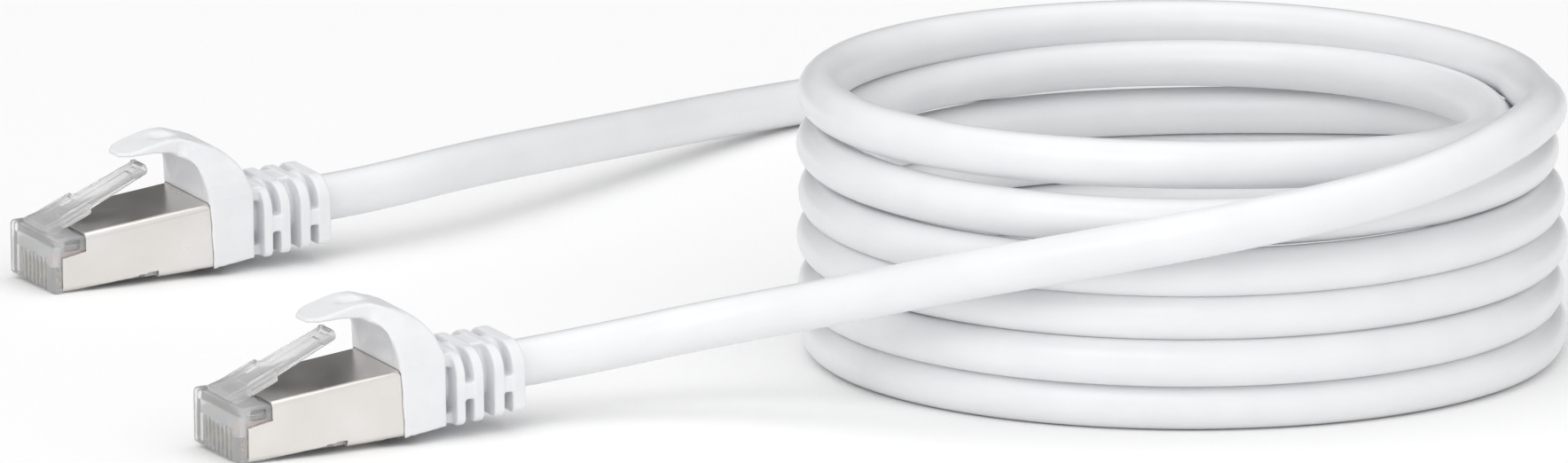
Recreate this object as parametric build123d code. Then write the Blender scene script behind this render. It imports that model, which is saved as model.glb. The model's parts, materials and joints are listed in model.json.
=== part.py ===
from build123d import *
from math import degrees, radians, sqrt, tan
import os

# Shielded 8P8C patch cable: two booted plugs joined by one round cable wound into a coil.
# Millimetres, +Z up. The cable and the plugs lie on the plane z = 0, and the origin is on
# that plane under the middle of the two plugs. +Y runs from one plug towards the other.

# ---- cable ------------------------------------------------------------------------------
CABLE_D = 5.6
CABLE_R = CABLE_D / 2
COIL_X, COIL_Y = 107.4, 2.0
COIL_OUTER_R = 45.2
COIL_INNER_R = 38.9
COIL_TOP_INNER_R = 35.2
COIL_HEIGHT = 34.0
COIL_SHOULDER_Z = 25.0

# Route of each lead after it leaves its boot: straight out first, then free on the surface.
LEAD_STRAIGHT = 5.0
LEAD_A = [(15.1, 61.6, 7.5), (20.9, 67.9, 7.7), (27.0, 76.4, 7.3), (33.6, 86.0, 6.6),
          (43.0, 100.5, 5.4), (52.1, 115.5, 4.1), (62.4, 130.2, 2.8), (77.8, 142.4, 2.8),
          (98.5, 149.6, 2.8), (120.9, 146.1, 2.8), (137.5, 130.3, 2.8), (145.1, 106.7, 2.8),
          (147.6, 77.7, 2.8), (148.6, 48.1, 2.8), (148.8, 18.5, 2.8)]
LEAD_B = [(42.1, -31.0, 8.1), (49.8, -30.1, 9.6), (58.1, -30.9, 11.4), (66.4, -33.7, 13.6),
          (74.6, -37.6, 16.1), (83.8, -41.4, 18.7), (94.7, -44.9, 21.4), (106.4, -46.6, 23.9),
          (118.9, -45.5, 26.2), (130.0, -41.0, 27.9), (139.0, -33.4, 29.6), (145.0, -24.5, 31.0),
          (148.6, -14.2, 31.3), (149.5, -4.0, 30.7), (148.4, 5.8, 29.9)]

# ---- where the plugs lie ----------------------------------------------------------------
PLUG_A = (-28.42, 36.94, 0.33)
PLUG_B = (-4.07, -54.39, 0.33)
YAW, PITCH, ROLL = 28.9, 2.4, 3.2

# ---- plug, in its own frame: x from the nose back to the cable, z up from the underside --
NOSE_W = 11.7
NOSE_H = 6.6
NOSE_WALL = 1.0
HOUSING_W = 11.1
HOUSING_Z0 = 0.3
HOUSING_LEN = 16.0
CONTACTS = 8
CONTACT_PITCH = 1.02
CONTACT_T = 0.35
SLOT_W = 0.5
SLOT_LEN = 6.0
BLADE_X0, BLADE_X1 = 0.75, 5.6
BLADE_Z0, BLADE_Z1 = 0.6, 3.2
WIRE_D = 0.95
WIRE_Z = 3.7
WIRE_X0, WIRE_BEND_X, WIRE_FAN_X = 1.2, 12.6, 20.2
CAVITY_W = 9.2
CAVITY_Z0, CAVITY_Z1 = 2.9, 5.4
BAR_X0, BAR_X1 = 5.8, 11.8

SHIELD_W = 11.7
SHIELD_T = 0.3
TONGUE_X, TONGUE_Z0, TONGUE_Z1 = 1.1, 4.25, 4.75
SHIELD_FRONT_X, SHIELD_FRONT_Z = 4.3, 6.85
SHIELD_END_X, SHIELD_END_Z = 23.3, 8.3
SHIELD_SLOPE = (SHIELD_END_Z - SHIELD_FRONT_Z) / (SHIELD_END_X - SHIELD_FRONT_X)
SHIELD_FLOOR_X = 7.0
NOTCH_X0, NOTCH_X1, NOTCH_Z = 11.3, 14.0, 0.6
COLLAR_X1, BRAID_X1 = 26.4, 26.2
COLLAR_R = 3.5
BRAID_R = 3.0
JACKET_X0 = 21.5

LATCH_AXIS_X, LATCH_AXIS_Z = 1.9, 7.15
LATCH_ROOT_R = 0.45
LATCH_W, LATCH_TAIL_W = 6.2, 3.9
LATCH_STEP_X = 6.6

CABLE_Z = 4.85
BOOT_W = 12.3
BOOT_X0, BOOT_X1 = 20.9, 26.7
HOOD_AXIS_X, HOOD_AXIS_Z = 21.6, 13.6
HOOD_ROOT_R = 1.0
HOOD_GAP = 0.3
HOOD_W = 6.4
BOOT_END_X = 37.2
CORE_R = 3.7
# each rib: front x, rear x, half width, bottom z, top z
RIBS = [(28.15, 29.3, 5.9, 0.3, 8.9), (30.4, 31.7, 5.9, 0.45, 8.85),
        (33.1, 34.4, 5.85, 0.6, 8.85), (35.55, BOOT_END_X, 5.7, 0.7, 8.9)]
RIB_TOP_CORNER, RIB_FOOT_CORNER = 3.0, 0.8
SIDE_BRIDGE_Z = (3.35, 5.35)
# half width of the top bridge in front of the first and the third rib
TOP_BRIDGES = {0: 4.4, 2: 2.2}

# Wire order along the nose, and where each wire enters the jacket (y, z from the cable axis)
PAIRS = {"orange": (0, 1), "green": (2, 5), "blue": (3, 4), "brown": (6, 7)}
WIRE_ENDS = [(-1.95, 0.35), (-1.05, -0.35), (-0.5, 1.4), (-0.5, -1.5),
             (0.5, -1.5), (0.5, 1.4), (1.05, -0.35), (1.95, 0.35)]


def block(x0, x1, y0, y1, z0, z1):
    """Box between two corners."""
    return Pos((x0 + x1) / 2, (y0 + y1) / 2, (z0 + z1) / 2) * Box(x1 - x0, y1 - y0, z1 - z0)


def cross_block(x0, x1, width, z0, z1):
    """Box centred on the plug's middle plane."""
    return block(x0, x1, -width / 2, width / 2, z0, z1)


def side_outline(edges, width):
    """Closed outline seen from the side (x, z), extruded across the width."""
    return extrude(Plane.XZ * make_face(edges), width / 2, both=True)


def side_polygon(points, width):
    return side_outline(Polyline(*points, close=True), width)


def x_cylinder(x0, x1, radius, z=CABLE_Z):
    """Cylinder along the plug's axis."""
    return Pos((x0 + x1) / 2, 0, z) * Rot(0, 90, 0) * Cylinder(radius, x1 - x0)


def y_cylinder(x, z, radius, width):
    """Cylinder across the plug."""
    return Pos(x, 0, z) * Rot(90, 0, 0) * Cylinder(radius, width)


def contact_y(i):
    return (i - (CONTACTS - 1) / 2) * CONTACT_PITCH


# ---- plug pieces ------------------------------------------------------------------------
def nose_housing():
    """Clear body: full width at the nose, then a neck that slides inside the shield."""
    body = cross_block(0, TONGUE_X, NOSE_W, 0, NOSE_H)
    body += cross_block(0, HOUSING_LEN, HOUSING_W, HOUSING_Z0, NOSE_H - 0.1)
    body += cross_block(0, SHIELD_FRONT_X, HOUSING_W, HOUSING_Z0, NOSE_H)
    body -= cross_block(NOSE_WALL, BAR_X1 + 0.4, CAVITY_W, CAVITY_Z0, CAVITY_Z1)
    body -= cross_block(BAR_X1 + 0.3, HOUSING_LEN + 1, CAVITY_W, 2.3, 5.9)
    for i in range(CONTACTS):
        y = contact_y(i)
        body -= block(-1, SLOT_LEN, y - SLOT_W / 2, y + SLOT_W / 2, -1, CAVITY_Z0 + 0.05)
    for side in (-1, 1):
        y0, y1 = sorted((side * (HOUSING_W / 2 - 0.45), side * NOSE_W))
        body -= block(1.2, 3.6, y0, y1, 4.95, 6.1)
    return body


def contact_blades():
    """Eight flat blades, each with a rounded lower front corner for the jack's spring."""
    blades = []
    for i in range(CONTACTS):
        blade = side_polygon([(BLADE_X0, BLADE_Z0), (BLADE_X1, BLADE_Z0), (BLADE_X1, 2.4),
                              (4.9, 2.4), (4.9, BLADE_Z1), (3.7, BLADE_Z1), (3.7, 2.6),
                              (2.6, 2.6), (2.6, BLADE_Z1), (1.5, BLADE_Z1), (1.5, 2.4),
                              (BLADE_X0, 2.4)], CONTACT_T)
        corner = blade.edges().filter_by(Axis.Y).sort_by(lambda e: e.center().X + e.center().Z)
        blades.append(Pos(0, contact_y(i), 0) * fillet(corner[0], 0.6))
    return Compound(children=blades)


def load_bar():
    """Comb that holds the eight wires at the contact pitch."""
    bar = cross_block(BAR_X0, BAR_X1, CAVITY_W - 0.1, CAVITY_Z0 + 0.05, 4.9)
    for i in range(CONTACTS):
        bar -= Pos(0, contact_y(i), 0) * x_cylinder(BAR_X0 - 1, BAR_X1 + 1, WIRE_D / 2, WIRE_Z)
    return bar


def wire(i):
    """One insulated conductor from the nose, through the bar, into the jacket."""
    y, (end_y, end_z) = contact_y(i), WIRE_ENDS[i]
    z = CABLE_Z + end_z
    path = FilletPolyline((WIRE_X0, y, WIRE_Z), (WIRE_BEND_X, y, WIRE_Z),
                          (WIRE_FAN_X, end_y, z), (JACKET_X0, end_y, z), radius=1.2)
    return sweep(Plane((WIRE_X0, y, WIRE_Z), z_dir=(1, 0, 0)) * Circle(WIRE_D / 2), path)


def wire_pair(indices):
    return Compound(children=[wire(i) for i in indices])


def shield_shell():
    """Folded sheet box: open under the contacts, with side tongues beside the nose."""
    outer = [(TONGUE_X, 0), (SHIELD_END_X, 0), (SHIELD_END_X, SHIELD_END_Z),
             (SHIELD_FRONT_X, SHIELD_FRONT_Z), (SHIELD_FRONT_X, TONGUE_Z1),
             (TONGUE_X, TONGUE_Z0)]
    shell = side_polygon(outer, SHIELD_W)
    long_edges = shell.edges().filter_by(lambda e: e.length > 15)
    shell = fillet(long_edges, 0.45)
    roof = SHIELD_FRONT_Z - SHIELD_T - SHIELD_SLOPE * SHIELD_FRONT_X
    inside = [(0, SHIELD_T), (SHIELD_END_X - SHIELD_T, SHIELD_T),
              (SHIELD_END_X - SHIELD_T, roof + SHIELD_SLOPE * (SHIELD_END_X - SHIELD_T)),
              (0, roof)]
    shell -= side_polygon(inside, SHIELD_W - 2 * SHIELD_T)
    shell -= cross_block(0, SHIELD_FLOOR_X, SHIELD_W - 2 * SHIELD_T, -1, 1)
    shell -= x_cylinder(SHIELD_END_X - 1, SHIELD_END_X + 1, COLLAR_R)
    shell -= cross_block(NOTCH_X0, NOTCH_X1, 2 * SHIELD_W, -1, NOTCH_Z)
    return shell


def crimp_collar():
    """Ring that clamps the braid behind the shield."""
    return x_cylinder(SHIELD_END_X - SHIELD_T, COLLAR_X1, COLLAR_R) - x_cylinder(20, 30, BRAID_R)


def braid_sleeve():
    return x_cylinder(JACKET_X0, BRAID_X1, BRAID_R) - x_cylinder(20, 30, CABLE_R)


def jacket_end():
    return x_cylinder(JACKET_X0, BOOT_END_X, CABLE_R)


def latch_lever():
    """Sprung tongue: a wide front with locking shoulders and a narrow tail."""
    outline = [(LATCH_AXIS_X, LATCH_AXIS_Z - LATCH_ROOT_R), (4.0, 7.45), (6.2, 8.25), (14.8, 11.75),
               (14.5, 12.85), (5.6, 9.35), (LATCH_AXIS_X, LATCH_AXIS_Z + LATCH_ROOT_R)]
    wide = side_polygon(outline, LATCH_W) & cross_block(0, LATCH_STEP_X, 20, 0, 20)
    tail = side_polygon(outline, LATCH_TAIL_W) - cross_block(0, LATCH_STEP_X - 0.5, 20, 0, 20)
    return wide + tail + y_cylinder(LATCH_AXIS_X, LATCH_AXIS_Z, LATCH_ROOT_R, LATCH_W)


def boot_front_view():
    """Arch outline across the boot, extruded along the plug."""
    half = BOOT_W / 2
    right = [(half - 0.6, 0), (half, 0.6), (half, 8.6), (5.8, 10.2), (5.2, 11.8), (4.5, 13.0),
             (3.7, 14.2), (3.2, 15.4), (3.1, 17)]
    outline = right + [(-y, z) for y, z in reversed(right)]
    face = Plane.YZ * make_face(Polyline(*outline, close=True))
    return extrude(face, 30)


def rib(x0, x1, half, z0, z1):
    """Plate across the cable, well rounded at its two top corners."""
    plate = Pos(x0, 0, (z0 + z1) / 2) * (Plane.YZ * Rectangle(2 * half, z1 - z0))
    rows = plate.vertices().group_by(Axis.Z)
    plate = fillet(rows[-1], RIB_TOP_CORNER)
    plate = fillet(plate.vertices().group_by(Axis.Z)[0], RIB_FOOT_CORNER)
    return extrude(plate, x1 - x0)


def boot():
    """Moulded boot: block over the shield's rear, raised back wall, and slotted strain relief."""
    wall = side_polygon([(BOOT_X0, 0), (BOOT_X1, 0.65), (BOOT_X1, 9.0), (26.2, 10.1), (25.9, 11.1),
                         (25.3, 12.2), (24.3, 13.4), (23.0, 14.4), (22.0, 12.3), (21.4, 11.7),
                         (21.0, 10.6), (BOOT_X0, 8.5)], BOOT_W)
    body = wall & boot_front_view()
    body -= y_cylinder(HOOD_AXIS_X, HOOD_AXIS_Z, HOOD_ROOT_R + HOOD_GAP, 2 * BOOT_W)
    body += x_cylinder(BOOT_X1, BOOT_END_X, CORE_R)
    for dims in RIBS:
        body += rib(*dims)
    fronts = [BOOT_X1] + [r[1] for r in RIBS[:-1]]
    for n, (x0, r) in enumerate(zip(fronts, RIBS)):
        x0, x1, half = x0 - 0.1, r[0] + 0.1, r[2]
        if n in TOP_BRIDGES:
            body += cross_block(x0, x1, 2 * TOP_BRIDGES[n], r[4] - 1.8, r[4] - 0.1)
            body += cross_block(x0, x1, 2 * TOP_BRIDGES[n], r[3] + 0.2, r[3] + 1.3)
        else:
            for side in (-1, 1):
                y0, y1 = sorted((side * 3.2, side * (half - 0.1)))
                body += block(x0, x1, y0, y1, *SIDE_BRIDGE_Z)
    body -= side_polygon([(20, -0.01), (SHIELD_END_X, -0.01), (SHIELD_END_X, SHIELD_END_Z),
                          (20, SHIELD_END_Z - SHIELD_SLOPE * (SHIELD_END_X - 20))], SHIELD_W)
    body -= x_cylinder(20, COLLAR_X1, COLLAR_R)
    body -= x_cylinder(20, 50, CABLE_R)
    return body


def boot_hood():
    """Flexible hood that covers the latch's tail and presses it down."""
    top = Spline((10.8, 14.65), (12.6, 15.0), (15.2, 15.6), (17.6, 15.9), (19.8, 15.5),
                 (HOOD_AXIS_X + 0.5, HOOD_AXIS_Z + 0.87))
    under = Spline((HOOD_AXIS_X - 0.5, HOOD_AXIS_Z - 0.87), (19.9, 13.0), (18.2, 13.9),
                   (16.2, 14.4), (13.6, 14.4), (10.9, 14.15))
    rest = [Line(top @ 1, under @ 0), Line(under @ 1, top @ 0)]
    plate = side_outline([top, under] + rest, BOOT_W)
    half = HOOD_W / 2
    tip = [(10.95, 0), (11.0, 1.3), (12.0, 2.5), (13.0, half), (18.6, half), (20.8, 3.6), (24, 3.7)]
    plan = tip + [(x, -y) for x, y in reversed(tip[1:])]
    plate &= extrude(make_face(Polyline(*plan, close=True)), 30)
    root = y_cylinder(HOOD_AXIS_X, HOOD_AXIS_Z, HOOD_ROOT_R, 7.4)
    return plate + root


# ---- cable pieces -----------------------------------------------------------------------
def cord_tube(name, points):
    """Round cable along straight runs joined by the largest arcs that the runs allow."""
    points = [Vector(*p) for p in points]
    radii = []
    for before, here, after in zip(points, points[1:], points[2:]):
        turn = radians((here - before).get_angle(after - here))
        shorter = min((here - before).length, (after - here).length)
        radii.append(0.45 * shorter / tan(turn / 2))
    path = FilletPolyline(*points, radius=radii)
    section = Plane(points[0], z_dir=points[1] - points[0]) * Circle(CABLE_R)
    tube = sweep(section, path)
    area = CABLE_R ** 2 * 3.14159265
    print(name, "length", round(path.length, 1), "volume ratio",
          round(tube.volume / (area * path.length), 4))
    print("  bend radii", [round(r, 1) for r in radii])
    return tube


def coil_turns():
    """Outer shape of the six turns, with the top turn sagging inwards."""
    section = [(COIL_INNER_R, 1.2), (COIL_INNER_R + 1.2, 0), (COIL_OUTER_R - 1.2, 0),
               (COIL_OUTER_R, 1.2), (COIL_OUTER_R, COIL_HEIGHT - 1.6),
               (COIL_OUTER_R - 1.6, COIL_HEIGHT), (COIL_TOP_INNER_R + 1.6, COIL_HEIGHT),
               (COIL_TOP_INNER_R, COIL_HEIGHT - 1.6), (COIL_TOP_INNER_R, COIL_SHOULDER_Z + 2),
               (COIL_INNER_R, COIL_SHOULDER_Z - 2)]
    face = Plane.XZ * make_face(Polyline(*section, close=True))
    return Pos(COIL_X, COIL_Y, 0) * revolve(face, Axis.Z)


def place(at):
    """Where a plug lies: its yaw, then its nose-down pitch, then its roll."""
    return Pos(*at) * Rot(0, 0, YAW) * Rot(0, -PITCH, 0) * Rot(ROLL, 0, 0)


def lead_start(at):
    """The boot's end face, and the point a little further along the plug's axis."""
    ends = [place(at) * Pos(x, 0, CABLE_Z) for x in (BOOT_END_X, BOOT_END_X + LEAD_STRAIGHT)]
    return [tuple(end.position) for end in ends]


def main():
    os.makedirs("parts", exist_ok=True)
    pieces = {
        "nose_housing": nose_housing(), "latch_lever": latch_lever(),
        "contact_blades": contact_blades(), "load_bar": load_bar(),
        "shield_shell": shield_shell(), "crimp_collar": crimp_collar(),
        "braid_sleeve": braid_sleeve(), "jacket_end": jacket_end(),
        "boot": boot(), "boot_hood": boot_hood(),
    }
    for colour, indices in PAIRS.items():
        pieces["wire_pair_" + colour] = wire_pair(indices)
    for side, at in (("a", PLUG_A), ("b", PLUG_B)):
        for name, shape in pieces.items():
            export_step(place(at) * shape, f"parts/{name}_{side}.step")
    export_step(coil_turns(), "parts/coil_turns.step")
    for side, at, route in (("a", PLUG_A, LEAD_A), ("b", PLUG_B, LEAD_B)):
        start = lead_start(at)
        print("lead", side, "starts", [tuple(round(v, 2) for v in p) for p in start])
        export_step(cord_tube("lead_" + side, start + route), f"parts/lead_{side}.step")


main()
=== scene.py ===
"""Looks of the ethernet patch cable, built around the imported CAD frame.

Lengths inside a plug are in millimetres in the plug's own frame: x runs from the nose back to
the cord, z up from the underside, y across. The cord's route is in millimetres in the row
frame, and everything else is in metres in the row frame.
"""
import json
import math

import bpy
import numpy as np
from mathutils import Matrix, Vector


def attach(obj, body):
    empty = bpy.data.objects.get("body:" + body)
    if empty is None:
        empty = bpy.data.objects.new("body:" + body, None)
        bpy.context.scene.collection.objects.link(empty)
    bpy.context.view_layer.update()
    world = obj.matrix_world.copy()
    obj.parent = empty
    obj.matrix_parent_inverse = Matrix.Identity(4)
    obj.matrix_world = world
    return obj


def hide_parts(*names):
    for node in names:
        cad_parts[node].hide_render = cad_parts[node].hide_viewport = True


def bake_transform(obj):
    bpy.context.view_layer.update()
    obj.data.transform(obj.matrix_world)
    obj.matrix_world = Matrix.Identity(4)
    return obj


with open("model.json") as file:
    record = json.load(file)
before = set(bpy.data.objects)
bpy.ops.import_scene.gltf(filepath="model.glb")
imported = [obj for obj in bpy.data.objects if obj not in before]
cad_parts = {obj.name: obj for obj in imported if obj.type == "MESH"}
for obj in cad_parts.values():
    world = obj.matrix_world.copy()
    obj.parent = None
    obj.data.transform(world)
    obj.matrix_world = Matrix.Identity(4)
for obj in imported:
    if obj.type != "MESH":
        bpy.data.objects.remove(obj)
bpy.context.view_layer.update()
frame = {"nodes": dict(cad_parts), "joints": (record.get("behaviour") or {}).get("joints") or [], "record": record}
record = frame["record"]
MM = 0.001


# ---- driving dimensions of a plug, in millimetres ---------------------------------------
NOSE_MOUNT_Z = 4.6
CONTACT_PITCH = 1.02
CABLE_Z, CABLE_R = 4.85, 2.8
SHEET = 0.28
SHIELD_HALF = 5.85
SHIELD_FRONT_X, SHIELD_END_X = 4.3, 23.3
ROOF_FRONT_Z, ROOF_SLOPE = 6.85, 0.0763
BLOCK_END_X, BOOT_END_X = 26.7, 37.2


# ---- plug frames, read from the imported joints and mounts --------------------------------
def plug_matrix(side):
    """Plug millimetres to the row frame's metres."""
    mount = next(m for m in record["mounts"] if m["name"] == f"plug_{side}_nose")
    hood = next(j for j in frame["joints"] if j["name"] == f"hood_flex_{side}")
    x = -Vector(mount["axis"]).normalized()
    y = -Vector(hood["axis"]).normalized()
    z = x.cross(y).normalized()
    origin = Vector(mount["pos_m"]) - z * NOSE_MOUNT_Z * MM
    turn = Matrix((x, y, z)).transposed().to_4x4()
    return Matrix.Translation(origin) @ turn @ Matrix.Scale(MM, 4)


PLUGS = {side: plug_matrix(side) for side in "ab"}


# ---- camera -----------------------------------------------------------------------------
COIL_CENTRE = Vector((0.1074, 0.002, 0.0))
VIEW_ELEVATION = math.radians(12.165)
VIEW_DISTANCE = 2.4
VIEW_WIDTH = 0.18343  # what the picture's width spans at the target
VIEW_TARGET = COIL_CENTRE + Vector((-0.04656, 0.0, 0.01414))


def make_camera():
    """A long lens in front of the cable, square to the row's x and looking down at it."""
    data = bpy.data.cameras.new("camera")
    data.sensor_width = 36.0
    data.lens = data.sensor_width * VIEW_DISTANCE / VIEW_WIDTH
    data.clip_start, data.clip_end = 0.05, 40.0
    camera = bpy.data.objects.new("camera", data)
    bpy.context.scene.collection.objects.link(camera)
    forward = Vector((0, math.cos(VIEW_ELEVATION), -math.sin(VIEW_ELEVATION)))
    camera.location = VIEW_TARGET - forward * VIEW_DISTANCE
    camera.rotation_euler = forward.to_track_quat("-Z", "Y").to_euler()
    bpy.context.scene.camera = camera


make_camera()


# ---- materials --------------------------------------------------------------------------
def new_material(name, base, roughness, **sockets):
    """Principled material; base and roughness are its flat values, before any texture."""
    material = bpy.data.materials.new(name)
    material.use_nodes = True
    shader = material.node_tree.nodes["Principled BSDF"]
    shader.inputs["Base Color"].default_value = (*base, 1)
    shader.inputs["Roughness"].default_value = roughness
    for socket, value in sockets.items():
        shader.inputs[socket.replace("_", " ")].default_value = value
    return material


def noise(material, scale, detail, stretch=(1, 1, 1)):
    """Object-space noise; scale is in waves per metre."""
    nodes, links = material.node_tree.nodes, material.node_tree.links
    coordinates = nodes.new("ShaderNodeTexCoord")
    mapping = nodes.new("ShaderNodeMapping")
    mapping.inputs["Scale"].default_value = stretch
    texture = nodes.new("ShaderNodeTexNoise")
    texture.inputs["Scale"].default_value = scale
    texture.inputs["Detail"].default_value = detail
    links.new(coordinates.outputs["Object"], mapping.inputs["Vector"])
    links.new(mapping.outputs["Vector"], texture.inputs["Vector"])
    return texture.outputs["Fac"]


def remap(material, value, low, high, to_low, to_high):
    """Value from low..high carried over to to_low..to_high, and held at its ends."""
    node = material.node_tree.nodes.new("ShaderNodeMapRange")
    for socket, number in zip(node.inputs[1:5], (low, high, to_low, to_high)):
        socket.default_value = number
    material.node_tree.links.new(value, node.inputs["Value"])
    return node.outputs["Result"]


def multiply(material, first, second):
    """Product of two values."""
    node = material.node_tree.nodes.new("ShaderNodeMath")
    node.operation = "MULTIPLY"
    material.node_tree.links.new(first, node.inputs[0])
    material.node_tree.links.new(second, node.inputs[1])
    return node.outputs["Value"]


def tint(material, value, first, second, between=(0.35, 0.65)):
    """Base colour from the first to the second, as the value goes between two levels."""
    nodes, links = material.node_tree.nodes, material.node_tree.links
    share = remap(material, value, *between, 0, 1)
    mix = nodes.new("ShaderNodeMix")
    mix.data_type = "RGBA"
    mix.inputs["A"].default_value = (*first, 1)
    mix.inputs["B"].default_value = (*second, 1)
    links.new(share, mix.inputs["Factor"])
    links.new(mix.outputs["Result"], nodes["Principled BSDF"].inputs["Base Color"])


def roughen(material, value, smooth, rough, between=(0.3, 0.7)):
    """Roughness from smooth to rough, as the value goes between two levels."""
    shader = material.node_tree.nodes["Principled BSDF"]
    roughness = remap(material, value, *between, smooth, rough)
    material.node_tree.links.new(roughness, shader.inputs["Roughness"])


def bump(material, value, height, strength):
    """Surface relief on top of any that is there; height is in metres."""
    nodes, links = material.node_tree.nodes, material.node_tree.links
    node = nodes.new("ShaderNodeBump")
    node.inputs["Strength"].default_value = strength
    node.inputs["Distance"].default_value = height
    shader = nodes["Principled BSDF"]
    if shader.inputs["Normal"].links:
        links.new(shader.inputs["Normal"].links[0].from_socket, node.inputs["Normal"])
    links.new(value, node.inputs["Height"])
    links.new(node.outputs["Normal"], shader.inputs["Normal"])


def jacket_material():
    """Extruded PVC: smooth, with a very fine grain and faint long waves."""
    m = new_material("white_jacket", (0.84, 0.845, 0.86), 0.32, Coat_Weight=0.12,
                     Coat_Roughness=0.2)
    waves = noise(m, 120, 2)
    tint(m, waves, (0.80, 0.805, 0.82), (0.825, 0.83, 0.84))
    roughen(m, noise(m, 900, 3), 0.28, 0.4)
    bump(m, waves, 0.00006, 0.5)
    bump(m, noise(m, 9000, 2), 0.000006, 0.5)
    return m


def boot_material():
    """Moulded PVC: a little greyer and more matt than the jacket, fine spark-eroded grain."""
    m = new_material("white_boot", (0.78, 0.785, 0.80), 0.45)
    tint(m, noise(m, 250, 3), (0.77, 0.775, 0.795), (0.80, 0.805, 0.82))
    roughen(m, noise(m, 1500, 3), 0.38, 0.52)
    bump(m, noise(m, 12000, 3), 0.00001, 0.6)
    bump(m, noise(m, 900, 3), 0.00003, 0.3)
    return m


def nickel_material():
    """Plated sheet: warmer patches, uneven polish and slight waves."""
    m = new_material("nickel_plate", (0.76, 0.735, 0.70), 0.3, Metallic=1.0)
    tint(m, noise(m, 120, 3), (0.78, 0.76, 0.735), (0.73, 0.705, 0.67), between=(0.35, 0.7))
    roughen(m, noise(m, 260, 3, stretch=(1, 0.35, 1)), 0.27, 0.33)
    bump(m, noise(m, 110, 2), 0.00005, 0.25)
    return m


def clear_material():
    """Polycarbonate with slight moulding waves that break up what shows through."""
    m = new_material("clear_polycarbonate", (0.97, 0.972, 0.975), 0.1, IOR=1.42,
                     Transmission_Weight=0.74)
    roughen(m, noise(m, 700, 3), 0.05, 0.16, between=(0.35, 0.7))
    bump(m, noise(m, 500, 3), 0.00003, 0.4)
    return m


def gold_material():
    """Plated contacts, paler and rubbed in places."""
    m = new_material("gold_plate", (0.93, 0.78, 0.5), 0.25, Metallic=0.6)
    tint(m, noise(m, 1500, 3), (0.95, 0.81, 0.54), (0.88, 0.72, 0.47))
    roughen(m, noise(m, 4000, 3), 0.18, 0.36)
    return m


def insulation_material(name, base):
    """Thin coloured insulation with paler patches."""
    m = new_material(name, base, 0.35)
    paler = tuple((1 + c) / 2 for c in base)
    tint(m, noise(m, 900, 2), base, paler, between=(0.4, 0.6))
    bump(m, noise(m, 5000, 2), 0.00001, 0.4)
    return m


def comb_material():
    """The clear comb that holds the wires."""
    m = new_material("wire_comb_plastic", (0.86, 0.87, 0.88), 0.25, Transmission_Weight=0.6,
                     IOR=1.5)
    roughen(m, noise(m, 900, 3), 0.18, 0.35, between=(0.35, 0.7))
    return m


def braid_material():
    """Tinned strands, with a coarse weave."""
    m = new_material("tinned_braid", (0.7, 0.7, 0.71), 0.35, Metallic=1.0)
    bump(m, noise(m, 2500, 2, stretch=(1, 1, 0.4)), 0.00008, 0.8)
    return m


MATERIALS = {
    "white_jacket": jacket_material(),
    "white_boot": boot_material(),
    "nickel_plate": nickel_material(),
    "clear_polycarbonate": clear_material(),
    "gold_plate": gold_material(),
    "wire_comb_plastic": comb_material(),
    "tinned_braid": braid_material(),
}
INSULATION = {"orange": (0.78, 0.33, 0.25), "green": (0.25, 0.5, 0.3), "blue": (0.2, 0.32, 0.6),
              "brown": (0.4, 0.25, 0.16)}
for colour, base in INSULATION.items():
    MATERIALS[f"{colour}_insulation"] = insulation_material(f"{colour}_insulation", base)


def paint(piece, slot):
    """Give an object one material."""
    piece.data.materials.clear()
    piece.data.materials.append(MATERIALS[slot])


for part in record["subparts"]:
    paint(frame["nodes"][part["node"]], part["material_slot"])


# ---- solid shapes as distance fields ----------------------------------------------------
def line_distance(u, v, points):
    """Distance to an open line in the u, v plane."""
    nearest = np.inf
    for (u0, v0), (u1, v1) in zip(points, points[1:]):
        eu, ev = u1 - u0, v1 - v0
        along = np.clip(((u - u0) * eu + (v - v0) * ev) / (eu * eu + ev * ev), 0, 1)
        gap = np.hypot(u - u0 - eu * along, v - v0 - ev * along)
        nearest = np.minimum(nearest, gap)
    return nearest


def polygon(u, v, points):
    """Signed distance to a closed outline in the u, v plane, negative inside."""
    outline = points + points[:1]
    sign = 1.0
    for (u0, v0), (u1, v1) in zip(outline, outline[1:]):
        eu, ev = u1 - u0, v1 - v0
        crosses = (v0 <= v) != (v1 <= v)
        right = (u - u0) * ev - eu * (v - v0)
        sign = sign * np.where(crosses & ((right < 0) == (ev > 0)), -1.0, 1.0)
    return sign * line_distance(u, v, outline)


def strip(u, v, points, radius):
    """Distance to a thick open line in the u, v plane, negative inside."""
    return line_distance(u, v, points) - radius


def both(a, b, rounding):
    """Where both are inside, with outer edges rounded."""
    a, b = a + rounding, b + rounding
    out = np.hypot(np.maximum(a, 0), np.maximum(b, 0)) + np.minimum(np.maximum(a, b), 0)
    return out - rounding


def join(a, b, fillet):
    """Where either is inside, with a fillet in the corner between them."""
    h = np.clip(0.5 + 0.5 * (b - a) / fillet, 0, 1)
    return b * (1 - h) + a * h - fillet * h * (1 - h)


def cut(a, b, rounding):
    """a without b, with the cut's edges rounded."""
    return -join(-a, b, rounding)


def span(value, low, high):
    """Distance outside the range low..high, negative inside."""
    return abs(value - (low + high) / 2) - (high - low) / 2


def box(x, y, z, xs, ys, zs, rounding):
    """Rounded box between limits along each axis."""
    return both(both(span(x, *xs), span(y, *ys), rounding), span(z, *zs), rounding)


SLOPE_STEP = 0.02
SURFACE_PASSES = 3
LEAST_SLOPE = 0.2  # squared; keeps the passes steady where a field is nearly flat


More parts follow.
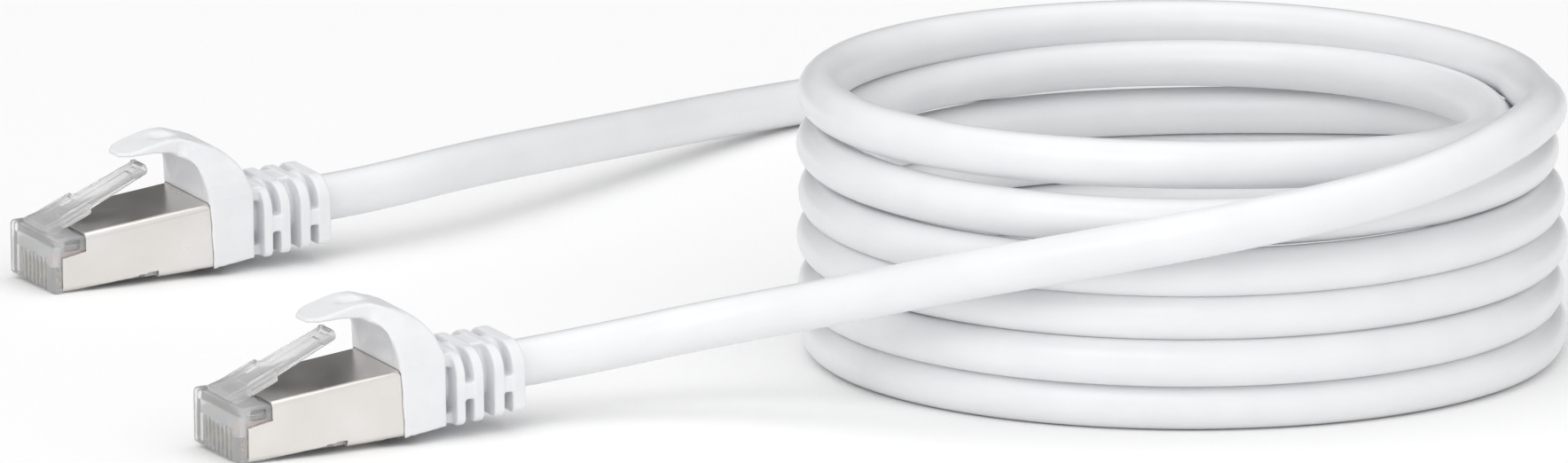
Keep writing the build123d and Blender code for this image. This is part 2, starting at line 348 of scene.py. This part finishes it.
def field_slope(field, place):
    """The field's gradient at each point."""
    slope = []
    for k in range(3):
        shift = np.zeros(3)
        shift[k] = SLOPE_STEP
        rise = field(*(place + shift).T) - field(*(place - shift).T)
        slope.append(rise / (2 * SLOPE_STEP))
    return np.stack(slope, 1)


def grid_crossings(value):
    """Grid edges that the zero surface crosses, with the four cells round each of them.

    Returns each cell's number and crossing point, in pairs, and then one four-cell face and
    whether it is turned over for each crossed edge.
    """
    inside = value < 0
    cells, points, faces, flips = [], [], [], []
    for axis in range(3):
        u, v = (axis + 1) % 3, (axis + 2) % 3
        first = [slice(1, -1)] * 3
        second = [slice(1, -1)] * 3
        first[axis], second[axis] = slice(0, -1), slice(1, None)
        start = np.argwhere(inside[tuple(first)] != inside[tuple(second)])
        start[:, [u, v]] += 1
        end = start.copy()
        end[:, axis] += 1
        a, b = value[tuple(start.T)], value[tuple(end.T)]
        place = start.astype(float)
        place[:, axis] += a / (a - b)
        ring = []
        for du, dv in ((1, 1), (0, 1), (0, 0), (1, 0)):
            cell = start.copy()
            cell[:, u] -= du
            cell[:, v] -= dv
            ring.append(np.ravel_multi_index(tuple(cell.T), value.shape))
            cells.append(ring[-1])
            points.append(place)
        faces.append(np.stack(ring, 1))
        flips.append(a >= 0)
    return (np.concatenate(part) for part in (cells, points, faces, flips))


def pull_to_surface(field, place, reach):
    """Points moved onto the field's zero surface, by at most reach in each pass."""
    for _ in range(SURFACE_PASSES):
        slope = field_slope(field, place)
        steepness = np.maximum((slope ** 2).sum(1), LEAST_SLOPE)
        move = slope * (field(*place.T) / steepness)[:, None]
        length = np.maximum(np.linalg.norm(move, axis=1), 1e-9)
        place = place - move * np.minimum(1, reach / length)[:, None]
    return place


def field_mesh(name, field, low, high, step):
    """Mesh of the field's zero surface: one vertex a cell, then drawn onto the surface."""
    axes = [np.arange(a - step, b + 2 * step, step) for a, b in zip(low, high)]
    shape = tuple(len(a) for a in axes)
    value = np.broadcast_to(field(*np.ix_(*axes)), shape).astype(np.float32)
    cells, points, faces, flips = grid_crossings(value)
    used, inverse = np.unique(cells, return_inverse=True)
    count = np.bincount(inverse)
    centre = np.stack([np.bincount(inverse, points[:, k]) / count for k in range(3)], 1)
    place = centre * step + [a[0] for a in axes]
    place = pull_to_surface(field, place, step / 2)
    faces = np.searchsorted(used, faces)
    faces[flips] = faces[flips][:, ::-1]
    mesh = bpy.data.meshes.new(name)
    mesh.from_pydata(place.tolist(), [], faces.tolist())
    mesh.shade_smooth()
    mesh.normals_split_custom_set_from_vertices(field_slope(field, place).tolist())
    return mesh


def plug_piece(name, mesh, side, slot, *nodes):
    """One plug's copy of a mesh, in the row frame."""
    copy = mesh.copy()
    copy.transform(PLUGS[side])
    piece = bpy.data.objects.new(f"{name}_{side}", copy)
    bpy.context.scene.collection.objects.link(piece)
    paint(piece, slot)
    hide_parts(*nodes)
    return piece


# ---- boot -------------------------------------------------------------------------------
# A side outline holds (x, z), the arch (half width, z) and the plan (x, half width). OUTSIDE
# closes an outline beyond the plug's underside or middle plane, and ABOVE over its top.
OUTSIDE, ABOVE = -9, 17
BLOCK_SIDE = [(21.15, 0), (BLOCK_END_X, 0.65), (BLOCK_END_X, 9.0), (26.25, 10.1), (25.85, 11.2),
              (25.2, 12.3), (24.2, 13.4), (23.0, 14.2), (21.5, 14.8), (19.0, 14.8), (18.4, 13.8),
              (19.15, 13.25), (19.85, 12.4), (20.3, 11.2), (20.6, 9.8), (20.75, 8.3)]
BLOCK_ARCH = [(OUTSIDE, OUTSIDE), (6.15, OUTSIDE), (6.15, 8.6), (5.85, 10.2), (5.3, 11.8),
              (4.6, 13.0), (3.8, 14.2), (3.2, 15.4), (3.0, ABOVE), (OUTSIDE, ABOVE)]
HOOD_SIDE = [(10.95, 14.1), (10.95, 14.6), (12.1, 14.82), (13.1, 15.08), (14.5, 15.4),
             (15.9, 15.72), (17.3, 15.9), (18.7, 15.84), (19.9, 15.45), (21.1, 14.84),
             (22.0, 14.27), (22.9, 13.8), (23.5, 13.0), (20.4, 12.6), (19.15, 13.25),
             (18.2, 13.85), (17.2, 14.22), (15.0, 14.45), (12.9, 14.4), (11.5, 14.2)]
HOOD_PLAN = [(10.95, OUTSIDE), (10.95, 1.2), (12.1, 2.6), (13.3, 2.95), (18.2, 3.15),
             (20.0, 3.6), (22.0, 4.3), (25.0, 4.3), (25.0, OUTSIDE)]
# The round hollow under the arch, open to the front.
HOLLOW_X, HOLLOW_Z, HOLLOW_R, HOLLOW_HALF = 19.0, 10.8, 2.6, 4.5
# The thumb's dimple on the hood: centre and half axes.
DIMPLE_X, DIMPLE_Z = 17.8, 16.2
DIMPLE_AXES = (2.3, 1.3, 0.95)
# Clearances of the pocket for the shield and of the cord's bore, and where the bore begins.
POCKET_SIDE, POCKET_UNDER, POCKET_TOP, POCKET_END = 0.03, 0.04, 0.02, 0.1
BORE_CLEARANCE, BORE_FRONT_X = 0.04, 26.0
# Each rib: front x, rear x, half width, bottom z, top z.
RIBS = [(28.15, 29.3, 5.9, 0.3, 8.9), (30.4, 31.7, 5.9, 0.45, 8.85),
        (33.1, 34.4, 5.85, 0.6, 8.85), (35.55, BOOT_END_X, 5.7, 0.7, 8.9)]
RIB_TOP_CORNER, RIB_LOW_CORNER, RIB_EDGE = 3.0, 0.9, 0.28
RELIEF_R = 3.7
# The bridges in front of the ribs reach this far into their neighbours. The first and the
# third are at the top and the bottom, with these half widths; the others are at the sides.
BRIDGE_OVERLAP = 0.6
TOP_BRIDGES = {0: 4.4, 2: 2.2}
SIDE_BRIDGE_Y, SIDE_BRIDGE_Z = 2.8, (3.35, 5.35)


def roof_z(x):
    """Height of the shield's sloping roof."""
    return ROOF_FRONT_Z + (x - SHIELD_FRONT_X) * ROOF_SLOPE


def rib_field(x, y, z, rib):
    """Ring with large upper and small lower corners."""
    front, rear, half, bottom, top = rib
    wide, high = abs(y) - half, span(z, bottom, top)
    section = np.where(z > (bottom + top) / 2, both(wide, high, RIB_TOP_CORNER),
                       both(wide, high, RIB_LOW_CORNER))
    return both(section, span(x, front, rear), RIB_EDGE)


def bridge_field(x, y, z, number, start):
    """What joins rib number to what ends at start in front of it."""
    front, _, half, bottom, top = RIBS[number]
    xs = (start - BRIDGE_OVERLAP, front + BRIDGE_OVERLAP)
    if number in TOP_BRIDGES:
        ys = (-TOP_BRIDGES[number], TOP_BRIDGES[number])
        upper = box(x, y, z, xs, ys, (top - 1.8, top - 0.05), 0.3)
        lower = box(x, y, z, xs, ys, (bottom + 0.1, bottom + 1.4), 0.3)
        return np.minimum(upper, lower)
    return box(x, abs(y), z, xs, (SIDE_BRIDGE_Y, half - 0.05), SIDE_BRIDGE_Z, 0.3)


def relief_field(x, y, z):
    """Four ribs round a sleeve, bridged in turn at top and bottom and at the sides."""
    sleeve = np.hypot(y, z - CABLE_Z) - RELIEF_R
    out = both(sleeve, span(x, BLOCK_END_X - 1, BOOT_END_X - 0.3), 0.2)
    starts = [BLOCK_END_X] + [rear for _, rear, *_ in RIBS[:-1]]
    for number, (start, rib) in enumerate(zip(starts, RIBS)):
        out = join(out, rib_field(x, y, z, rib), 0.3)
        out = join(out, bridge_field(x, y, z, number, start), 0.35)
    return out


def block_field(x, y, z):
    """Moulded block behind the shield, rising to the hood's root under a rounded arch."""
    block = both(polygon(x, z, BLOCK_SIDE), polygon(abs(y), z, BLOCK_ARCH), 0.45)
    round_hollow = np.hypot(x - HOLLOW_X, z - HOLLOW_Z) - HOLLOW_R
    return cut(block, both(round_hollow, abs(y) - HOLLOW_HALF, 1.2), 0.3)


def hood_field(x, y, z):
    """Flexible hood that reaches forward over the latch's tail."""
    hood = both(polygon(x, z, HOOD_SIDE), polygon(x, abs(y), HOOD_PLAN), 0.4)
    along, across, up = DIMPLE_AXES
    dimple = np.sqrt(((x - DIMPLE_X) / along) ** 2 + (y / across) ** 2
                     + ((z - DIMPLE_Z) / up) ** 2) - 1
    return cut(hood, dimple * 0.5, 0.3)


def boot_field(x, y, z):
    """Block, hood and strain relief in one, hollowed for the shield and the cord."""
    out = join(block_field(x, y, z), hood_field(x, y, z), 0.8)
    out = join(out, relief_field(x, y, z), 0.25)
    pocket = both(abs(y) - (SHIELD_HALF + POCKET_SIDE),
                  np.maximum(-POCKET_UNDER - z, z - roof_z(x) - POCKET_TOP), 0.45)
    out = cut(out, np.maximum(pocket, x - SHIELD_END_X - POCKET_END), 0.1)
    bore = np.hypot(y, z - CABLE_Z) - (CABLE_R + BORE_CLEARANCE)
    return cut(out, np.maximum(bore, BORE_FRONT_X - x), 0.1)


# ---- shield -----------------------------------------------------------------------------
TONGUE_X = 1.1  # how far forward the side tongues reach
TAB_X = (12.5, 13.9)
# Side outline of the sheet, with the lower edge's steps round the tab and under the boot.
SHIELD_SIDE = [(TONGUE_X, 0.02), (11.3, 0.6), (11.3, 0.75), (TAB_X[0], 0.7), (TAB_X[0], 0.9),
               (TAB_X[1], 0.9), (TAB_X[1], -1), (18.9, -1), (18.9, 0.22), (24, 0.22), (24, 12),
               (SHIELD_FRONT_X, 12), (SHIELD_FRONT_X, 4.75), (TONGUE_X, 4.25)]
FLOOR_CUT_X, FLOOR_CUT_HALF = 7.0, 5.45
SHELF_Z = (0.9, 1.15)


def shield_field(x, y, z):
    """Folded sheet: tongues forward at the sides, roof rising towards the boot."""
    wide, roof = abs(y), roof_z(x)
    out = both(wide - SHIELD_HALF, np.maximum(-z, z - roof), 0.8)
    inner = both(wide - (SHIELD_HALF - SHEET), np.maximum(SHEET - z, z - roof + SHEET), 0.5)
    out = both(out, polygon(x, z, SHIELD_SIDE), 0.05)
    out = np.maximum(out, x - SHIELD_END_X)
    out = cut(out, inner, 0.04)
    open_floor = box(x, y, z, (-5, FLOOR_CUT_X), (-FLOOR_CUT_HALF, FLOOR_CUT_HALF), (-2, 1.0), 0.2)
    out = cut(out, open_floor, 0.04)
    tab = box(x, wide, z, TAB_X, (4.3, 4.6), (0.05, SHELF_Z[1]), 0.05)
    shelf = box(x, wide, z, TAB_X, (4.3, 5.7), SHELF_Z, 0.05)
    return np.minimum(out, np.minimum(tab, shelf))


# ---- clear nose -------------------------------------------------------------------------
NOSE_HALF, NOSE_END_X = 5.5, 16.0
HEAD_END_X, HEAD_TOP_Z = 4.0, 6.6
RIM_HALF, RIM_END_X = 5.82, 1.05
CAVITY_HALF = 4.6
SLOT_HALF, SLOTS_HALF = 0.26, 4.2


def contact_slots(x, y, z):
    """Eight slots, open below, with a shallow taller part in the front face."""
    pitches = y / CONTACT_PITCH
    slots = abs(pitches - np.floor(pitches) - 0.5) * CONTACT_PITCH - SLOT_HALF
    slots = np.maximum(slots, abs(y) - SLOTS_HALF)
    deep = np.maximum(slots, np.maximum(x - 6.0, z - 2.95))
    front = np.maximum(slots, np.maximum(x - 0.55, z - 3.9))
    return np.minimum(deep, front)


def nose_field(x, y, z):
    """Clear housing: body, taller head, rim round the front and the latch's root on top."""
    half, rim_half = (-NOSE_HALF, NOSE_HALF), (-RIM_HALF, RIM_HALF)
    out = box(x, y, z, (0.0, NOSE_END_X), half, (0.3, 6.5), 0.25)
    out = join(out, box(x, y, z, (0.0, HEAD_END_X), half, (0.0, HEAD_TOP_Z), 0.3), 0.1)
    out = join(out, box(x, y, z, (0.0, RIM_END_X), rim_half, (0.0, 6.3), 0.3), 0.2)
    out = join(out, box(x, y, z, (0.5, 3.6), (-3.3, 3.3), (6.0, 6.95), 0.25), 0.25)
    inner = (-CAVITY_HALF, CAVITY_HALF)
    cavity = box(x, y, z, (1.0, 12.1), inner, (2.9, 5.4), 0.15)
    rear = box(x, y, z, (12.0, 20.0), inner, (2.3, 5.9), 0.2)
    out = cut(out, np.minimum(cavity, rear), 0.05)
    out = cut(out, contact_slots(x, y, z), 0.08)
    window = box(x, abs(y), z, (1.6, 3.6), (4.95, 9), (4.95, 6.1), 0.2)
    return cut(out, window, 0.08)


# ---- clear latch ------------------------------------------------------------------------
LATCH_LINE = [(1.0, 6.95), (2.2, 7.25), (6.4, 8.9), (14.3, 12.12)]
LATCH_THICKNESS = 1.1
SHOULDER_X, SHOULDER_HALF = 6.5, 3.05
# The tail's half width where it starts, and how much of it is lost for each millimetre.
TAIL_X, TAIL_HALF, TAIL_TAPER = 6.6, 2.0, 0.055
CHANNEL_HALF = 1.05


def latch_field(x, y, z):
    """Sprung lever: wide front with locking shoulders, then a narrow channelled tail."""
    plate = strip(x, z, LATCH_LINE, LATCH_THICKNESS / 2)
    front = both(np.maximum(plate, x - SHOULDER_X), abs(y) - SHOULDER_HALF, 0.2)
    tail = both(plate, abs(y) - (TAIL_HALF - TAIL_TAPER * (x - TAIL_X)), 0.2)
    out = join(front, tail, 0.3)
    groove = strip(x, z, [(4.6, 9.05), (13.4, 12.62)], 0.45)
    out = cut(out, np.maximum(groove, abs(y) - CHANNEL_HALF), 0.1)
    under = strip(x, z, [(4.0, 7.2), (13.2, 10.93)], 0.35)
    out = cut(out, np.maximum(under, abs(y) - CHANNEL_HALF), 0.1)
    lip = box(x, y, z, (14.05, 14.7), (-1.55, 1.55), (11.75, 12.85), 0.2)
    return join(out, lip, 0.2)


# ---- both plugs -------------------------------------------------------------------------
GRID_STEP, QUICK_GRID_STEP = 0.15, 0.3


def plug_point(side, x, z):
    """Point in the plug's middle plane, in the row frame."""
    return PLUGS[side] @ Vector((x, 0, z))


def build_plugs():
    """The moulded and folded pieces, made once and copied to each plug."""
    step = GRID_STEP
    boot = field_mesh("boot", boot_field, (9.6, -6.5, -0.3), (37.6, 6.5, 15.9), step * 1.1)
    shield = field_mesh("shield", shield_field, (0.7, -6.1, -0.3), (23.6, 6.1, 9.0), step * 0.8)
    nose = field_mesh("nose", nose_field, (-0.2, -6.1, -0.2), (16.3, 6.1, 7.3), step)
    latch = field_mesh("latch", latch_field, (0.2, -3.4, 6.1), (15.2, 3.4, 13.2), step * 0.8)
    for side in "ab":
        piece = plug_piece("moulded_boot", boot, side, "white_boot", f"boot_{side}",
                           f"boot_hood_{side}")
        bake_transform(piece)
        piece = plug_piece("folded_shield", shield, side, "nickel_plate",
                           f"shield_shell_{side}")
        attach(piece, "root")
        piece = plug_piece("clear_nose", nose, side, "clear_polycarbonate",
                           f"nose_housing_{side}")
        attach(piece, "root")
        piece = plug_piece("clear_latch", latch, side, "clear_polycarbonate",
                           f"latch_lever_{side}")
        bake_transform(piece)


# ---- cord -------------------------------------------------------------------------------
# How much of the cord is inside each boot, and how far it then runs on straight.
CORD_INSIDE, LEAD_STRAIGHT = 9.0, 5.0
# The leads' route points, in millimetres, from each boot's end to the coil.
LEAD_A = [(15.1, 61.6, 7.5), (20.9, 67.9, 7.7), (27.0, 76.4, 7.3), (33.6, 86.0, 6.6),
          (43.0, 100.5, 5.4), (52.1, 115.5, 4.1), (62.4, 130.2, 2.8), (77.8, 142.4, 2.8),
          (98.5, 149.6, 2.8), (120.9, 146.1, 2.8), (137.5, 130.3, 2.8), (145.1, 106.7, 2.8),
          (147.6, 77.7, 2.8), (148.6, 48.1, 2.8), (148.8, 18.5, 2.8)]
LEAD_B = [(42.1, -31.0, 8.1), (49.8, -30.1, 9.6), (58.1, -30.9, 11.4), (66.4, -33.7, 13.6),
          (74.6, -37.6, 16.1), (83.8, -41.4, 18.7), (94.7, -44.9, 21.4), (106.4, -46.6, 23.9),
          (118.9, -45.5, 26.2), (130.0, -41.0, 27.9), (139.0, -33.4, 29.6), (145.0, -24.5, 31.0),
          (148.6, -14.2, 31.3), (149.5, -4.0, 30.7), (148.4, 5.8, 29.9)]
# Radius and height of the cord's line each quarter turn, from the bottom turn's right end:
# right, front, left, back, then the next turn up.
QUARTERS = [(42.2, 2.8), (42.2, 2.8), (41.9, 2.8), (42.3, 3.5),
            (41.9, 8.2), (43.6, 8.1), (42.1, 8.1), (42.2, 8.9),
            (42.3, 13.8), (42.8, 13.4), (42.3, 13.9), (42.0, 14.4),
            (41.9, 19.0), (43.2, 18.6), (42.1, 19.0), (41.5, 19.8),
            (41.2, 24.6), (41.6, 24.1), (42.4, 24.9), (40.0, 26.1),
            (35.9, 26.9), (38.3, 30.3), (42.3, 30.8), (42.0, 30.4), (41.5, 29.8)]
POINTS_PER_QUARTER = 4


def coil_points():
    """Control points of the six turns, clockwise from above."""
    points = []
    turn = math.pi / 2 / POINTS_PER_QUARTER
    # A quadratic B-spline passes this much nearer the centre than its control points.
    inset = 0.75 + 0.25 * math.cos(turn)
    for n in range(POINTS_PER_QUARTER * (len(QUARTERS) - 1)):
        quarter, part = divmod(n, POINTS_PER_QUARTER)
        ease = 0.5 - 0.5 * math.cos(math.pi * part / POINTS_PER_QUARTER)
        (r0, z0), (r1, z1) = QUARTERS[quarter], QUARTERS[quarter + 1]
        radius = (r0 + (r1 - r0) * ease) / inset
        height = z0 + (z1 - z0) * ease
        flat = Vector((math.cos(-turn * n), math.sin(-turn * n), 0)) * radius
        points.append((flat + Vector((0, 0, height))) * MM + COIL_CENTRE)
    return points


def lead_points(side, route):
    """From inside the boot, straight out of its end, then along the route."""
    ends = [BOOT_END_X - CORD_INSIDE, BOOT_END_X, BOOT_END_X + LEAD_STRAIGHT]
    return [plug_point(side, x, CABLE_Z) for x in ends] + [Vector(p) * MM for p in route]


def make_cord():
    """The whole cord, plug to plug, as one round line."""
    points = lead_points("a", LEAD_A) + coil_points() + lead_points("b", LEAD_B)[::-1]
    data = bpy.data.curves.new("patch_cord", "CURVE")
    data.dimensions = "3D"
    spline = data.splines.new("NURBS")
    spline.points.add(len(points) - 1)
    for point, place in zip(spline.points, points):
        point.co = (*place, 1)
    spline.order_u = 3
    spline.use_endpoint_u = True
    spline.use_smooth = True
    data.resolution_u = 10
    data.bevel_depth = CABLE_R * MM
    data.bevel_resolution = 10
    data.use_fill_caps = True
    cord = bpy.data.objects.new("patch_cord", data)
    bpy.context.scene.collection.objects.link(cord)
    paint(cord, "white_jacket")
    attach(cord, "root")
    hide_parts("lead_a", "coil_turns", "lead_b", "jacket_end_a", "jacket_end_b")


make_cord()
build_plugs()


# ---- stage ------------------------------------------------------------------------------
FLOOR_HALF = 6.0
LIGHT_TARGET = Vector((0.06, 0.0, 0.0))
# The world's strength: in general, at its darkest low at the back, and times this in front.
STUDIO_LEVEL, DARKEST_LEVEL, FRONT_GAIN = 0.85, 0.04, 1.3


def make_floor():
    """A plain pale sheet, far larger than the cable."""
    mesh = bpy.data.meshes.new("floor")
    corners = [(-1, -1), (1, -1), (1, 1), (-1, 1)]
    mesh.from_pydata([(x * FLOOR_HALF, y * FLOOR_HALF, 0) for x, y in corners], [],
                     [(0, 1, 2, 3)])
    floor = bpy.data.objects.new("floor", mesh)
    bpy.context.scene.collection.objects.link(floor)
    material = new_material("floor", (0.97, 0.97, 0.97), 0.9)
    tint(material, noise(material, 3, 2), (0.965, 0.965, 0.965), (0.985, 0.985, 0.985),
         between=(0, 1))
    mesh.materials.append(material)


def area_light(name, place, size, power):
    """Rectangular soft light of size metres and power watts, aimed at the cable."""
    data = bpy.data.lights.new(name, "AREA")
    data.shape = "RECTANGLE"
    data.size, data.size_y = size
    data.energy = power
    light = bpy.data.objects.new(name, data)
    bpy.context.scene.collection.objects.link(light)
    light.location = place
    light.rotation_euler = (LIGHT_TARGET - Vector(place)).to_track_quat("-Z", "Y").to_euler()


def make_world():
    """A bright studio all round, darker low down at the back, where the roofs reflect it.

    A direction's Y grows towards the back and its Z upwards, both from -1 to 1.
    """
    world = bpy.data.worlds.new("studio")
    world.use_nodes = True
    nodes, links = world.node_tree.nodes, world.node_tree.links
    nodes["Background"].inputs["Color"].default_value = (1, 1, 1, 1)
    direction = nodes.new("ShaderNodeTexCoord").outputs["Generated"]
    split = nodes.new("ShaderNodeSeparateXYZ")
    links.new(direction, split.inputs["Vector"])
    back = remap(world, split.outputs["Y"], 0.15, 0.75, 0, 1)
    low = remap(world, split.outputs["Z"], 0.8, 0.45, 0, 1)
    shade = remap(world, multiply(world, back, low), 0, 1, STUDIO_LEVEL, DARKEST_LEVEL)
    front = remap(world, split.outputs["Y"], 0.1, -0.9, 1, FRONT_GAIN)
    links.new(multiply(world, shade, front), nodes["Background"].inputs["Strength"])
    bpy.context.scene.world = world


make_floor()
make_world()
area_light("key", (-0.35, -0.9, 0.9), (0.9, 0.6), 2.8)
area_light("top", (0.1, 0.2, 1.2), (1.2, 0.9), 2.2)
bpy.context.scene.view_settings.view_transform = "Standard"
